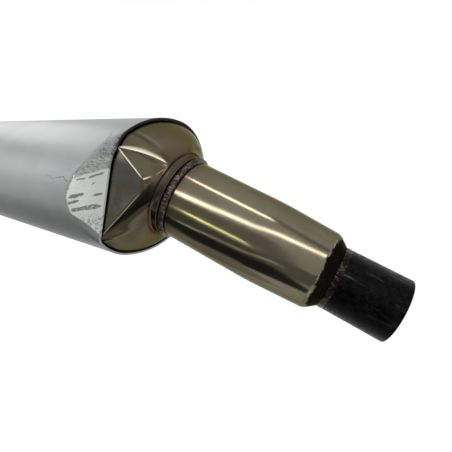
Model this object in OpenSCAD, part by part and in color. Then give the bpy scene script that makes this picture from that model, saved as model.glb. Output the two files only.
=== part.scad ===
// Oval silencer of a motorcycle, with a double-wall inlet pipe that leans to one side.
// The crash dent at the inlet end, across shell, seal and pressed cap, belongs to the object.
// Frame: origin at the centre of the inlet pipe's mouth, +X along the canister towards the
// inlet, +Y along the wide way of the oval, +Z along its narrow way, the pipe leans to -Z.

/* [Canister] */
// Length of the outer shell along the canister
shell_len = 420; // [380:5:520]
// Width of the oval over the shell
oval_w = 148; // [142:0.5:170]
// Height of the oval over the shell
oval_h = 112; // [106:0.5:124]
// Radius of the two tight ends of the oval
end_r = 44; // [40:0.5:50]
// Wall of the aluminium shell
shell_t = 1.2; // [0.8:0.1:2]
// Width of the black joint between shell and cap
joint_w = 2.3; // [1.5:0.1:3]
// Depth of the black joint
joint_depth = 5; // [3:0.5:8]
// How far the cap's edge and the joint lie inside the shell's end
recess = 1.5; // [1:0.1:3]
// Wall of the inner can
can_t = 1; // [0.8:0.1:1.5]
// Slip clearance between pressed parts that slide into each other
slip = 0.15; // [0.1:0.01:0.2]
// How far the inner can reaches into the caps' skirts
can_lap = 4; // [2:0.5:6]
// How much deeper than the skirt the inner can was pushed in at the dent
can_push = 0.8; // [0.6:0.1:1.2]
// Free space from the mat to the skirts and to the hanger's plate
mat_gap = 2; // [1:0.5:4]

/* [Inlet pipe] */
// Outer radius of the inner pipe, whose bare end is the stub
pipe_r = 25.4; // [22:0.1:26]
// Wall of the inner pipe
pipe_t = 1.5; // [1:0.1:2]
// Lean of the pipe away from the canister's axis, in degrees
lean = 24.5; // [20:0.5:27]
// From the mouth back to the point where the pipe's axis meets the canister's
reach = 217.5; // [205:0.5:240]
// How far that point lies in front of the shell's end
cross = 8.5; // [6:0.5:12]
// Radius of the pipe's bend inside the canister
bend_r = 70; // [60:1:80]
// How much the stub is sized up over the rest of the inner pipe
stub_step = 0.4; // [0.3:0.05:0.6]

/* [Sleeve] */
// Outer radius of the sleeve around the inner pipe
sleeve_r = 35.25; // [34:0.05:36.5]
// Wall of the sleeve
sleeve_t = 1.2; // [0.8:0.1:1.5]
// From the mouth to the place where the sleeve starts to narrow
taper_start = 118; // [105:1:130]
// Length over which the sleeve rolls into its taper
taper_roll = 20; // [10:1:30]
// Slope of the taper, in degrees
taper_slope = 3.55; // [2:0.05:4.5]
// From the mouth to the rounded shoulder
shoulder_at = 63; // [58:0.5:75]
// Radius of the rounded shoulder
shoulder_r = 8; // [5:0.5:10]
// Slope of the cone behind the stub, in degrees
cone_slope = 39; // [30:1:45]
// How far the sleeve's end stands out of the neck's inner edge
sleeve_past = 1; // [0.5:0.5:3]
// From the neck's foot to the wire ring between pipe and sleeve
ring_at = 8; // [5:1:40]
// Width of that ring
ring_w = 18; // [10:1:24]

/* [Neck of the caps] */
// From the point where the two axes meet forward to the foot of the inlet cap's neck
neck_out = 17; // [15.5:0.5:20.5]
// Wall of the inlet cap's neck where the sleeve passes
neck_t = 1.9; // [1.4:0.1:2.4]
// Height of the neck above its foot
neck_h = 6.6; // [5:0.2:9]
// Radius of the fillet from the dome into the neck
neck_fillet = 2.4; // [1.5:0.1:3]
// Wall of both pressed caps
cap_t = 1.2; // [0.8:0.1:1.5]
// Depth of the caps' skirts inside the shell
skirt = 14; // [10:1:18]
// Length of the weld between the inlet cap's neck and the sleeve
neck_weld_w = 6.4; // [4:0.2:9]
// Height of that weld over the sleeve
neck_weld_h = 2.3; // [1.5:0.1:3]
// Length of the weld between the sleeve and the stub
stub_weld_w = 5; // [3:0.2:7]
// Height of that weld over the stub
stub_weld_h = 2; // [1:0.1:3]

/* [Dent] */
// Direction of the blow around the canister, from +Y towards +Z, in degrees
dent_dir = 136.5; // [130:0.5:146]
// Depth of the flattened edge, at the shell's end
dent_depth = 14.3; // [8:0.1:17]
// Tilt of the flat towards the shell's end, in degrees
dent_tilt = 26; // [24:0.5:36]
// Depth of the rounding at the upper end of the flat
brow_depth = 5.3; // [3:0.1:5.5]
// Tilt of that rounding, in degrees
brow_tilt = 20; // [15:1:25]
// From the blow's direction to the rounding, in degrees
brow_up = 22; // [20:0.5:24]
// How steeply the cap's sheet falls away beside the upper creases
crease_fall = 0.2; // [0.05:0.01:0.3]
// How steeply it falls away below the lower crease
fold_fall = 0.45; // [0.1:0.01:0.6]
// How steeply it comes up again from there
fold_rise = 0.15; // [0.05:0.01:0.25]

/* [Gas path] */
// From the shell's inlet end to the front baffle
front_baffle_at = 130; // [115:1:150]
// From the shell's outlet end to the rear baffle
rear_baffle_at = 130; // [115:1:140]
// Wall of the baffles and of the tubes between them
baffle_t = 1.2; // [1:0.1:1.5]
// Length of a baffle's flange
flange_len = 9; // [6:0.5:12]
// Free space from the return tube and the crossover tube to the core tube
return_gap = 8.65; // [6:0.05:12]
// Free space from the outlet tube to the core tube
outlet_gap = 2.95; // [2:0.05:6]
// How far the core tube passes the rear baffle
core_past = 35; // [25:1:50]
// How far the return tube passes each baffle
return_past = 40; // [20:1:50]
// How far the crossover tube passes the front baffle on each side
cross_past = 28; // [15:1:40]
// Wall of the tail pipe
tail_t = 1.5; // [1:0.1:2]
// Free space between the side tubes and the inner can
side_gap = 2.5; // [2:0.1:3.5]
// How far the tail pipe stands out of the outlet cap
tail_out = 42; // [30:1:80]
// How far the tail pipe reaches in behind the outlet cap's face
tail_in = 12; // [10:1:16]
// How far the outlet tube is slipped over the tail pipe
tail_lap = 7; // [5:0.5:8]
// Length of the weld around the tail pipe
tail_weld_w = 4; // [3:0.2:6]
// Height of that weld
tail_weld_h = 1.8; // [1:0.1:2.5]
// How far the outlet tube reaches into the middle chamber
tube_in = 55; // [40:1:60]
// Height of the outlet cap's dome
dome_h = 16; // [10:0.5:24]
// Radius of the holes in the core tube
perf_r = 2.5; // [1.5:0.1:3]
// Distance between the rows of those holes
perf_pitch = 13; // [11:0.5:20]
// Plain length of the core tube beside each baffle
perf_margin = 20; // [12:1:30]

/* [Hanger] */
// From the rear baffle forward to the hanger's middle
hanger_ahead = 28; // [10:1:60]
// Length of the hanger's foot along the canister
foot_len = 66; // [58:1:80]
// Width of the hanger's foot
foot_w = 40; // [36:1:46]
// Thickness of the hanger's foot and lug
hanger_t = 3; // [2.5:0.1:4]
// From the shell to the middle of the hanger's eye
eye_out = 20; // [18:0.5:24]
// Radius of the hanger's eye
eye_r = 10; // [8.5:0.1:11]
// Rim of steel around the eye
eye_rim = 5; // [4:0.5:7]
// From the foot's ends to the lug's
lug_in = 6; // [4:0.5:10]
// Radius of the bolt hole in the steel collar
bolt_r = 4.3; // [3.2:0.1:5.3]
// Wall of the steel collar
collar_t = 1.7; // [1.2:0.1:2]
// Length of the steel collar
collar_len = 17; // [14:0.5:22]
// Thickness of the rubber on each side of the lug
rubber_side = 5; // [3:0.5:5.5]
// How far the rubber's lips reach over the lug
rubber_lip = 2; // [1.5:0.1:3]
// Radius of the rivets
rivet_r = 2.4; // [2:0.1:3]
// From the foot's edges to the rivets
rivet_edge = 6.5; // [6:0.5:8]
// Thickness of the plate behind the rivets
backing_t = 1.5; // [1:0.1:1.6]

/* [Hidden] */
$fn = 96;

aluminium = [0.76, 0.78, 0.79];
steel = [0.56, 0.53, 0.43];
dull_steel = [0.52, 0.51, 0.48];
soot = [0.09, 0.09, 0.09];
weld_grey = [0.32, 0.29, 0.26];

// Insets of the nested walls from the outside of the shell
skirt_in = shell_t + joint_w;
can_in = skirt_in + cap_t + slip;
free_in = can_in + can_t;
baffle_in = free_in + slip;

// The oval is four arcs that meet without a kink: two tight ends and two long sides
end_c = oval_w / 2 - end_r;
side_r = (end_c * end_c + oval_h * oval_h / 4 - end_r * end_r) / (oval_h - 2 * end_r);
side_c = side_r - oval_h / 2;
joint_dir = [end_c, side_c] / norm([end_c, side_c]);
joint_az = atan2(joint_dir.y, joint_dir.x);

// Where the baffles stand along the canister, and the hanger between them
front_w = -front_baffle_at;
rear_w = -(shell_len - rear_baffle_at);
hanger_at = -rear_w - hanger_ahead;
tail_w = -shell_len - dome_h + tail_in;

// The inner pipe behind the stub; the elbow and the core tube are of the same size
run_r = pipe_r - stub_step;
run_t = pipe_t - stub_step;

// The side tubes fill the room that the gaps leave between the core tube and the inner can;
// the tail pipe slips into the outlet tube
side_room = oval_w / 2 - free_in - side_gap - run_r;
return_r = (side_room - return_gap) / 2;
outlet_r = (side_room - outlet_gap) / 2;
tail_r = outlet_r - slip - baffle_t;
return_u = run_r + return_gap + return_r;
tail_u = -(run_r + outlet_gap + outlet_r);

// From the mouth to the foot of the inlet cap's neck
neck_at = reach - neck_out;

// The bend inside the canister, and the point on the canister's axis where it starts
bend_run = bend_r * tan(lean / 2);
bend_w = cross - bend_run;

// Dent planes: direction, tilt, depth below the oval
DENT = [
  [dent_dir, dent_tilt, dent_depth],
  [dent_dir - brow_up, brow_tilt, brow_depth],
];
far = 1500;

// Overshoot of cutting bodies
over = 1;

// Frames. In the canister's frame z runs along the canister and 0 is the shell's inlet end;
// x is the part's Y and y the part's Z. In the pipe's frame z points out of the mouth.
module in_canister() {
  translate([-reach * cos(lean) - cross, 0, reach * sin(lean)])
    rotate([90, 0, 90])
      children();
}

module in_pipe() {
  rotate([0, 90 + lean, 0])
    children();
}

module at_outlet() {
  in_canister()
    translate([0, 0, -shell_len])
      rotate([180, 0, 0])
        children();
}

module tube(r, wall, from, to) {
  translate([0, 0, from])
    linear_extrude(to - from)
      difference() {
        circle(r);
        circle(r - wall);
      }
}

// The oval: two long arcs in the middle and a round end on each side of them
module oval(inset) {
  turn = end_c + (end_r - inset) * joint_dir.x;
  intersection() {
    translate([0, -side_c])
      circle(side_r - inset);
    translate([0, side_c])
      circle(side_r - inset);
    square([2 * turn, 2 * side_r], center = true);
  }
  for (side = [-1, 1])
    intersection() {
      translate([side * end_c, 0])
        circle(end_r - inset);
      translate([side * (turn + end_r), 0])
        square(2 * end_r, center = true);
    }
}

// How far the oval reaches in a direction
function reach_of(az) =
  let (c = abs(cos(az)), s = abs(sin(az)))
  atan2(s, c) < joint_az ? end_c * c + end_r : side_r - side_c * s;

// The side of a dent plane that stays, for a wall that lies inset below the shell's outside
module kept_side(plane, inset) {
  rotate([0, 90 - plane[1], plane[0]])
    translate([-far, -far, (reach_of(plane[0]) - plane[2]) * cos(plane[1]) - inset - 2 * far])
      cube(2 * far);
}

// A solid of the oval's section, flattened by the dent; push moves only the flattened part in
module oval_bar(inset, from, to, push = 0) {
  intersection() {
    translate([0, 0, from])
      linear_extrude(to - from)
        oval(inset);
    intersection_for(plane = DENT)
      kept_side(plane, inset + push);
  }
}

module oval_tube(inset, wall, from, to, push = 0) {
  difference() {
    oval_bar(inset, from, to, push);
    oval_bar(inset + wall, from - over, to + over, push);
  }
}

// The outline of the dented oval as a distance from its centre, for the pressed caps
function oval_at(th, inset) =
  let (
    c = abs(cos(th)),
    s = abs(sin(th)),
    turn = [end_c, 0] + (end_r - inset) * joint_dir,
    rho = side_r - inset
  )
  s * turn.x < c * turn.y
    ? end_c * c + sqrt(pow(end_r - inset, 2) - pow(end_c * s, 2))
    : -side_c * s + sqrt(pow(side_c * s, 2) - side_c * side_c + rho * rho);

function plane_at(plane, th, inset, w) =
  let (c = cos(th - plane[0]))
  c < 0.01 ? far : ((reach_of(plane[0]) - plane[2]) - (inset + w * sin(plane[1])) / cos(plane[1])) / c;

function rim_at(th, inset, w, dented) =
  let (r = oval_at(th, inset))
  dented ? min([r, for (plane = DENT) plane_at(plane, th, inset, w)]) : r;

function rim_point(th, inset, w, dented) =
  let (r = rim_at(th, inset, w, dented))
  [r * cos(th), r * sin(th), w];

// A point of the neck: radius and height in the frame of the pipe that passes it
function neck_point(neck, th, rho, h) =
  let (a = neck[1])
  neck[0] + rho * [cos(th), sin(th) * cos(a), sin(th) * sin(a)] + h * [0, -sin(a), cos(a)];

// The dome runs from the rim to the neck's foot in a bowed line, steep at the rim; a neck's
// last value says where that line's middle point lies between the two
function dome_point(neck, th, t, off, dented) =
  let (
    p = rim_point(th, skirt_in + off, -recess - off, dented),
    q = neck_point(neck, th, neck[2] + neck_fillet - off, -off),
    m = [for (i = [0:2]) p[i] + (q[i] - p[i]) * neck[3][i]]
  )
  (1 - t) * (1 - t) * p + 2 * t * (1 - t) * m + t * t * q;

// Necks: middle of the foot, lean, outer radius, bow of the dome
inlet_neck = [
  [0, -neck_out * sin(lean), cross + neck_out * cos(lean)],
  lean,
  sleeve_r + slip * 2 + neck_t,
  [0.3, 0.3, 0.7],
];
outlet_neck = [[tail_u, 0, dome_h], 0, tail_r + slip * 2 + neck_t, [0.12, 0.12, 0.9]];

// The creases of the dented cap run between marks, which are given by their angle and by how
// far they lie on the way from the rim to the neck
function mark(th, t) = dome_point(inlet_neck, th, t, 0, true);
corner_up = mark(106.5, 0);
ridge_end = mark(99, 0.93);
short_end = mark(119, 0.86);
apex = mark(127.5, 0.67);
heel = mark(141.5, 0.73);
corner_low = mark(181.5, 0);
fold_end = mark(160, 1);

// Beside the flat that the blow left, the sheet folded into two troughs. Each is bounded by
// creases; the number says how steeply the sheet falls away from a crease into the trough
TROUGHS = [
  [[ridge_end, corner_up, crease_fall], [corner_up, apex, crease_fall],
    [apex, short_end, crease_fall]],
  [[heel, corner_low, fold_fall], [corner_low, fold_end, fold_rise]],
];

function cross3(a, b) = [
  a.y * b.z - a.z * b.y,
  a.z * b.x - a.x * b.z,
  a.x * b.y - a.y * b.x,
];
function square_to(a, b) = let (n = cross3(a, b)) n / norm(n);
SLOPES = [for (trough = TROUGHS) [for (line = trough) line[2] * square_to(line[0], line[1])]];

// How far a point of the dome lies down in a trough. The sheet stays up where it meets the neck
function trough_at(p) = max([0, for (slopes = SLOPES) min([for (slope = slopes) slope * p])]);
function pressed(p, k) = p * (1 - trough_at(p) * min(1, (1 - k) / neck_hold) / norm(p));

function cap_ring(neck, k, off, dented) = [
  for (i = [0:cap_sides - 1])
    let (p = dome_point(neck, i * 360 / cap_sides, k, off, dented))
    dented ? pressed(p, k) : p
];

function neck_ring(neck, rho, h) = [
  for (i = [0:cap_sides - 1]) neck_point(neck, i * 360 / cap_sides, rho, h)
];

function skirt_ring(w, inset, dented) = [
  for (i = [0:cap_sides - 1]) rim_point(i * 360 / cap_sides, inset, w, dented)
];

cap_sides = 90;
dome_rings = 11;
inner_rings = 6;
// The rings inside stop just short of the neck's bore
inner_end = 0.97;
// Share of the way to the neck over which its foot holds the sheet up
neck_hold = 0.12;

// A pressed cap: skirt, domed face and neck, as one wall of sheet metal
module pressed_cap(neck, dented) {
  bore = neck[2] - neck_t;
  rings = [
    skirt_ring(-skirt, skirt_in, dented),
    for (k = [0:dome_rings]) cap_ring(neck, k / dome_rings, 0, dented),
    for (a = [30:30:90])
      neck_ring(neck, neck[2] + neck_fillet * (1 - sin(a)), neck_fillet * (1 - cos(a))),
    neck_ring(neck, neck[2], neck_h - neck_t / 2),
    neck_ring(neck, neck[2] - neck_t * 0.3, neck_h),
    neck_ring(neck, bore, neck_h),
    neck_ring(neck, bore, -cap_t),
    for (k = [inner_rings:-1:0]) cap_ring(neck, k / inner_rings * inner_end, cap_t, dented),
    skirt_ring(-skirt, skirt_in + cap_t, dented),
  ];
  n = cap_sides;
  m = len(rings);
  polyhedron(
    points = [for (ring = rings) each ring],
    faces = [
      for (j = [0:m - 1], i = [0:n - 1])
        let (
          a = j * n + i,
          b = j * n + (i + 1) % n,
          c = (j + 1) % m * n + (i + 1) % n,
          d = (j + 1) % m * n + i
        )
        each [[a, c, b], [a, d, c]]
    ]
  );
}

// A weld bead, round on the outside, that lies on a pipe of radius r
module bead(r, from, to, h) {
  mid = (from + to) / 2;
  half = (to - from) / 2;
  rotate_extrude()
    polygon([
      [r, from],
      for (a = [20:20:160]) [r + h * sin(a), mid - half * cos(a)],
      [r, to],
    ]);
}

// Canister
module outer_shell() {
  color(aluminium)
    in_canister()
      difference() {
        oval_tube(0, shell_t, -shell_len, 0);
        rivet_holes();
      }
}

module inlet_joint_seal() {
  color(soot)
    in_canister()
      oval_tube(shell_t, joint_w, -recess - joint_depth, -recess);
}

module outlet_joint_seal() {
  color(soot)
    in_canister()
      oval_tube(shell_t, joint_w, -shell_len + recess, -shell_len + recess + joint_depth);
}

module inner_can() {
  color(dull_steel)
    in_canister()
      oval_tube(can_in, can_t, -shell_len + skirt - can_lap, -skirt + can_lap, can_push);
}

module glass_wool_mat() {
  start = -skirt - mat_gap;
  color("khaki")
    in_canister()
      difference() {
        oval_tube(shell_t + slip, can_in - shell_t - 2 * slip, -shell_len - start, start);
        translate([0, -oval_h / 2, -hanger_at])
          cube([foot_w + mat_gap, oval_h, foot_len + mat_gap], center = true);
      }
}

// Inlet end
module inlet_end_cap() {
  color(steel)
    in_canister()
      pressed_cap(inlet_neck, true);
}

module inlet_neck_weld() {
  top = -neck_at + neck_h;
  color(weld_grey)
    in_pipe()
      bead(sleeve_r, top, top + neck_weld_w, neck_weld_h);
}

foot_r = run_r + slip;
roll_steps = 5;
shoulder_steps = 7;

// The sleeve's line from its inner end to its foot on the pipe: radius, distance from the mouth
function sleeve_line(off) =
  let (
    drop = tan(taper_slope),
    roll_r = sleeve_r - drop * taper_roll / 2,
    edge_r = roll_r - drop * (taper_start - taper_roll - shoulder_at),
    arc_r = edge_r - shoulder_r * (cos(taper_slope) - cos(cone_slope)),
    arc_s = shoulder_at - shoulder_r * (sin(cone_slope) - sin(taper_slope)),
    end_r = arc_r - off * cos(cone_slope),
    end_s = arc_s + off * sin(cone_slope)
  )
  concat(
    [[sleeve_r - off, neck_at + cap_t + sleeve_past]],
    [
      for (k = [0:1 / roll_steps:1])
        [sleeve_r - drop * taper_roll * k * k / 2 - off, taper_start - taper_roll * k]
    ],
    [
      for (k = [0:1 / shoulder_steps:1.001])
        let (a = taper_slope + (cone_slope - taper_slope) * k)
        [
          edge_r - shoulder_r * (cos(taper_slope) - cos(a)) - off * cos(a),
          shoulder_at - shoulder_r * (sin(a) - sin(taper_slope)) + off * sin(a)
        ]
    ],
    [[foot_r, end_s - (end_r - foot_r) / tan(cone_slope)]]
  );

function back_to_front(line) = [for (i = [len(line) - 1:-1:0]) line[i]];

foot_s = sleeve_line(0)[len(sleeve_line(0)) - 1].y;

module inlet_sleeve() {
  color(steel)
    in_pipe()
      rotate_extrude()
        polygon([
          for (p = concat(sleeve_line(0), back_to_front(sleeve_line(sleeve_t))))
            [p.x, -p.y]
        ]);
}

// The stub is sized to the joint it slides into, behind the weld the pipe is a little thinner
module inlet_pipe() {
  stub_end = -foot_s + stub_weld_w;
  back = -(reach - bend_run);
  color(soot)
    in_pipe()
      rotate_extrude()
        polygon([
          [pipe_r - pipe_t, 0],
          [pipe_r, 0],
          [pipe_r, stub_end],
          [run_r, stub_end],
          [run_r, back],
          [pipe_r - pipe_t, back],
        ]);
}

module inlet_elbow() {
  color(dull_steel)
    in_canister()
      translate([0, -bend_r, bend_w])
        rotate([90, 0, 90])
          rotate_extrude(angle = lean)
            translate([bend_r, 0])
              difference() {
                circle(run_r);
                circle(run_r - run_t);
              }
}

module inlet_stub_weld() {
  color(weld_grey)
    in_pipe()
      bead(foot_r, -foot_s, -foot_s + stub_weld_w, stub_weld_h);
}

module sleeve_spacer_ring() {
  color("dimgray")
    in_pipe()
      tube(sleeve_r - sleeve_t - slip, sleeve_r - sleeve_t - run_r - 2 * slip,
        -neck_at + ring_at, -neck_at + ring_at + ring_w);
}

// Gas path
module baffle(w, holes) {
  difference() {
    union() {
      oval_bar(baffle_in, w, w + baffle_t);
      oval_tube(baffle_in, baffle_t, w, w + flange_len);
    }
    for (hole = holes)
      translate([hole[0], 0, w - over])
        cylinder(h = baffle_t + 2 * over, r = hole[1] + slip);
  }
}

module front_baffle() {
  color(dull_steel)
    in_canister()
      baffle(front_w, [[0, run_r], [return_u, return_r], [-return_u, return_r]]);
}

module rear_baffle() {
  color(dull_steel)
    in_canister()
      baffle(rear_w, [[0, run_r], [return_u, return_r], [tail_u, outlet_r]]);
}

perf_rows = floor((front_w - rear_w - 2 * perf_margin) / perf_pitch);
perf_turn = 45;

module core_tube() {
  color(dull_steel)
    in_canister()
      difference() {
        tube(run_r, run_t, rear_w - core_past, bend_w);
        for (row = [0:perf_rows - 1], a = [0:perf_turn:180 - perf_turn])
          translate([0, 0, (front_w + rear_w) / 2 + (row - (perf_rows - 1) / 2) * perf_pitch])
            rotate([90, 0, a + perf_turn / 2 * (row % 2)])
              cylinder(h = 4 * run_r, r = perf_r, center = true);
      }
}

module return_tube() {
  color(dull_steel)
    in_canister()
      translate([return_u, 0, 0])
        tube(return_r, baffle_t, rear_w - return_past, front_w + return_past);
}

module crossover_tube() {
  color(dull_steel)
    in_canister()
      translate([-return_u, 0, 0])
        tube(return_r, baffle_t, front_w - cross_past, front_w + cross_past);
}

module outlet_tube() {
  color(dull_steel)
    in_canister()
      translate([tail_u, 0, 0])
        tube(outlet_r, baffle_t, tail_w - tail_lap, rear_w + tube_in);
}

module tail_pipe() {
  color(steel)
    in_canister()
      translate([tail_u, 0, 0])
        tube(tail_r, tail_t, -shell_len - dome_h - tail_out, tail_w);
}

module tail_pipe_weld() {
  top = shell_len + dome_h + neck_h;
  color(weld_grey)
    in_canister()
      translate([tail_u, 0, 0])
        bead(tail_r, -top - tail_weld_w, -top, tail_weld_h);
}

module outlet_end_cap() {
  color(steel)
    at_outlet()
      pressed_cap(outlet_neck, false);
}

// Hanger, on the side that faces the machine
rivet_u = foot_w / 2 - rivet_edge;
rivet_w = foot_len / 2 - rivet_edge;
head_r = rivet_r * 1.9;
head_h = rivet_r * 0.6;
tail_button_r = rivet_r * 1.4;
tail_button_h = rivet_r * 0.35;
drill_len = 20;

// Puts children at the four rivets, square to the long side of the oval, z pointing outwards
module rivet_places() {
  for (u = [-1, 1], w = [-1, 1])
    translate([0, side_c, -hanger_at + w * rivet_w])
      rotate([90, 0, u * asin(rivet_u / side_r)])
        translate([0, 0, side_r])
          children();
}

module rivet_holes() {
  rivet_places()
    cylinder(h = drill_len, r = rivet_r + slip / 2, center = true);
}

// A plate that follows the long side of the oval, from one radius to another
module side_plate(from, to, width, length) {
  translate([0, side_c, -hanger_at - length / 2])
    linear_extrude(length)
      intersection() {
        difference() {
          circle(to, $fn = 256);
          circle(from, $fn = 256);
        }
        translate([-width / 2, -to - over])
          square([width, to]);
      }
}

eye_v = -oval_h / 2 - eye_out;

module hanger_bracket() {
  base_v = -oval_h / 2 - hanger_t / 2;
  color(dull_steel)
    in_canister()
      difference() {
        union() {
          side_plate(side_r + slip / 3, side_r + hanger_t, foot_w, foot_len);
          translate([-hanger_t / 2, 0, -hanger_at])
            rotate([0, 90, 0])
              linear_extrude(hanger_t)
                difference() {
                  union() {
                    translate([0, eye_v])
                      circle(eye_r + eye_rim);
                    polygon([
                      [-foot_len / 2 + lug_in, base_v],
                      [-eye_r - eye_rim, eye_v],
                      [eye_r + eye_rim, eye_v],
                      [foot_len / 2 - lug_in, base_v],
                    ]);
                  }
                  translate([0, eye_v])
                    circle(eye_r);
                }
        }
        rivet_holes();
      }
}

module hanger_backing_plate() {
  color(dull_steel)
    in_canister()
      difference() {
        side_plate(side_r - shell_t - backing_t, side_r - shell_t - slip / 3, foot_w, foot_len);
        rivet_holes();
      }
}

module hanger_rivets() {
  grip_top = hanger_t + slip;
  grip_low = -shell_t - backing_t - slip;
  color(dull_steel)
    in_canister()
      rivet_places() {
        translate([0, 0, grip_low])
          cylinder(h = grip_top - grip_low, r = rivet_r);
        translate([0, 0, grip_top])
          cylinder(h = head_h, r1 = head_r, r2 = rivet_r);
        translate([0, 0, grip_low - tail_button_h])
          cylinder(h = tail_button_h, r = tail_button_r);
      }
}

collar_r = bolt_r + collar_t;

module hanger_grommet() {
  seat = hanger_t / 2 + slip;
  color([0.06, 0.06, 0.06])
    in_canister()
      translate([0, eye_v, -hanger_at])
        rotate([0, 90, 0])
          rotate_extrude()
            polygon([
              [collar_r + slip, -seat - rubber_side],
              [eye_r - slip, -seat - rubber_side],
              [eye_r + rubber_lip, -seat - rubber_side / 2],
              [eye_r + rubber_lip, -seat],
              [eye_r - slip, -seat],
              [eye_r - slip, seat],
              [eye_r + rubber_lip, seat],
              [eye_r + rubber_lip, seat + rubber_side / 2],
              [eye_r - slip, seat + rubber_side],
              [collar_r + slip, seat + rubber_side],
            ]);
}

module hanger_collar() {
  color(dull_steel)
    in_canister()
      translate([0, eye_v, -hanger_at])
        rotate([0, 90, 0])
          tube(collar_r, collar_t, -collar_len / 2, collar_len / 2);
}

outer_shell();
inlet_joint_seal();
outlet_joint_seal();
inner_can();
glass_wool_mat();
inlet_end_cap();
inlet_neck_weld();
inlet_sleeve();
inlet_pipe();
inlet_stub_weld();
sleeve_spacer_ring();
inlet_elbow();
front_baffle();
rear_baffle();
core_tube();
return_tube();
crossover_tube();
outlet_tube();
tail_pipe();
tail_pipe_weld();
outlet_end_cap();
hanger_bracket();
hanger_backing_plate();
hanger_rivets();
hanger_grommet();
hanger_collar();
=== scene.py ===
import math
import random

import bmesh
import bpy
from mathutils import Matrix, Vector, noise


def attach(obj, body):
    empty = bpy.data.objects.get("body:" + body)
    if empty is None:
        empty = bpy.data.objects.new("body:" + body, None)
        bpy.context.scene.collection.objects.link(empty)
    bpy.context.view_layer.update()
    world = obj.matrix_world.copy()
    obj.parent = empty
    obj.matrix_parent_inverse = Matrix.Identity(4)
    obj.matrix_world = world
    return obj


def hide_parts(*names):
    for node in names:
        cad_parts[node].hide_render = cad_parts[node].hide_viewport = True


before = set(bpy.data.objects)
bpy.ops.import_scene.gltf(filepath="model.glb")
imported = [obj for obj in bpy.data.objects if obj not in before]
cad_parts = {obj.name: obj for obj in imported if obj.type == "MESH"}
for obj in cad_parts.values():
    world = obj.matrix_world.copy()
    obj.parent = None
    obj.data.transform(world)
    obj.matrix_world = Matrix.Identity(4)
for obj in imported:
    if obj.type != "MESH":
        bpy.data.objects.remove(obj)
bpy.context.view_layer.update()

# Outer shell
# The canister's wall: aluminium sheet of 1.2 mm, rolled to an oval of four arcs and finished
# matt, with a narrow hem at its ends. It is slipped over both caps' skirts on a black sealing
# joint. A fall has flattened one corner of its inlet edge and scraped the flat to bright metal.

SHELL_LEN, SHELL_WALL, HEM = 0.420, 0.0012, 0.0018
HALF_WIDE, HALF_HIGH, END_R = 0.074, 0.056, 0.044
END_C = HALF_WIDE - END_R
SIDE_R = (END_C**2 + HALF_HIGH**2 - END_R**2) / (2 * (HALF_HIGH - END_R))
SIDE_C = SIDE_R - HALF_HIGH

LEAN = math.radians(24.5)
REACH, CROSS = 0.2175, 0.0085
INLET_X = -(REACH * math.cos(LEAN) + CROSS)
AXIS_Z = REACH * math.sin(LEAN)

# direction, tilt and depth of the flat and of the rounding above it
FLAT_DIR = math.radians(136.5)
DENT = (
    (FLAT_DIR, math.radians(26), 0.0143),
    (math.radians(114.5), math.radians(20), 0.0053),
)
DENT_ROUNDING = 0.0030


def oval_at(turn, inset):
    """How far the oval's wall lies from the canister's axis in one direction."""
    c, s = abs(math.cos(turn)), abs(math.sin(turn))
    slope = math.hypot(END_C, SIDE_C)
    kink_y = END_C + (END_R - inset) * END_C / slope
    kink_z = (END_R - inset) * SIDE_C / slope
    if s * kink_y < c * kink_z:
        return END_C * c + math.sqrt((END_R - inset) ** 2 - (END_C * s) ** 2)
    low = SIDE_C * s
    return -low + math.sqrt(low * low - SIDE_C**2 + (SIDE_R - inset) ** 2)


def furthest(turn):
    """How far a flat square to this direction can lie and still touch the oval."""
    c, s = abs(math.cos(turn)), abs(math.sin(turn))
    if s * END_C < c * SIDE_C:
        return END_C * c + END_R
    return SIDE_R - SIDE_C * s


def soft_min(a, b, rounding):
    """The smaller value, with a rounded corner where the two meet."""
    near = max(rounding - abs(a - b), 0) / rounding
    return min(a, b) - near * near * rounding / 4


def wall_at(turn, inset, w):
    """The dented wall's distance from the axis; w runs along the canister, 0 at the inlet end."""
    far = oval_at(turn, inset)
    for direction, tilt, depth in DENT:
        facing = math.cos(turn - direction)
        if facing > 0.1:
            chord = furthest(direction) - depth - (inset + w * math.sin(tilt)) / math.cos(tilt)
            far = soft_min(far, chord / facing, DENT_ROUNDING)
    return far


def at_shell(turn, far, w):
    """A point by its direction and distance from the canister's axis."""
    return Vector((INLET_X + w, far * math.cos(turn), AXIS_Z + far * math.sin(turn)))


def drawn(name, segments, rings, closed=True):
    """A sheet drawn out ring by ring; each ring gives the point for a turn around the axis."""
    bm = bmesh.new()
    bmesh.ops.create_circle(bm, segments=segments, radius=1)
    around = bm.verts.layers.float.new("around")
    for v in bm.verts:
        v[around] = math.atan2(v.co.y, v.co.x)
        v.co = rings[0](v[around])
    first = edge = bm.edges[:]
    for ring in rings[1:]:
        made = bmesh.ops.extrude_edge_only(bm, edges=edge)["geom"]
        new = {e for e in made if isinstance(e, bmesh.types.BMVert)}
        edge = [e for e in made if isinstance(e, bmesh.types.BMEdge) and set(e.verts) <= new]
        for v in new:
            v.co = ring(v[around])
    if closed:
        bmesh.ops.bridge_loops(bm, edges=first + edge)
    return piece_of(name, bm)


def piece_of(name, bm, smooth_angle=40):
    """Turns a bmesh into a smooth-shaded object whose faces point outwards."""
    bmesh.ops.recalc_face_normals(bm, faces=bm.faces)
    mesh = bpy.data.meshes.new(name)
    bm.to_mesh(mesh)
    bm.free()
    mesh.shade_smooth()
    mesh.set_sharp_from_angle(angle=math.radians(smooth_angle))
    piece = bpy.data.objects.new(name, mesh)
    bpy.context.scene.collection.objects.link(piece)
    return piece


def wall_ring(inset, w):
    """A ring of the dented wall, by its depth in the sheet and its place along the canister."""
    return lambda turn: at_shell(turn, wall_at(turn, inset, w), w)


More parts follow.
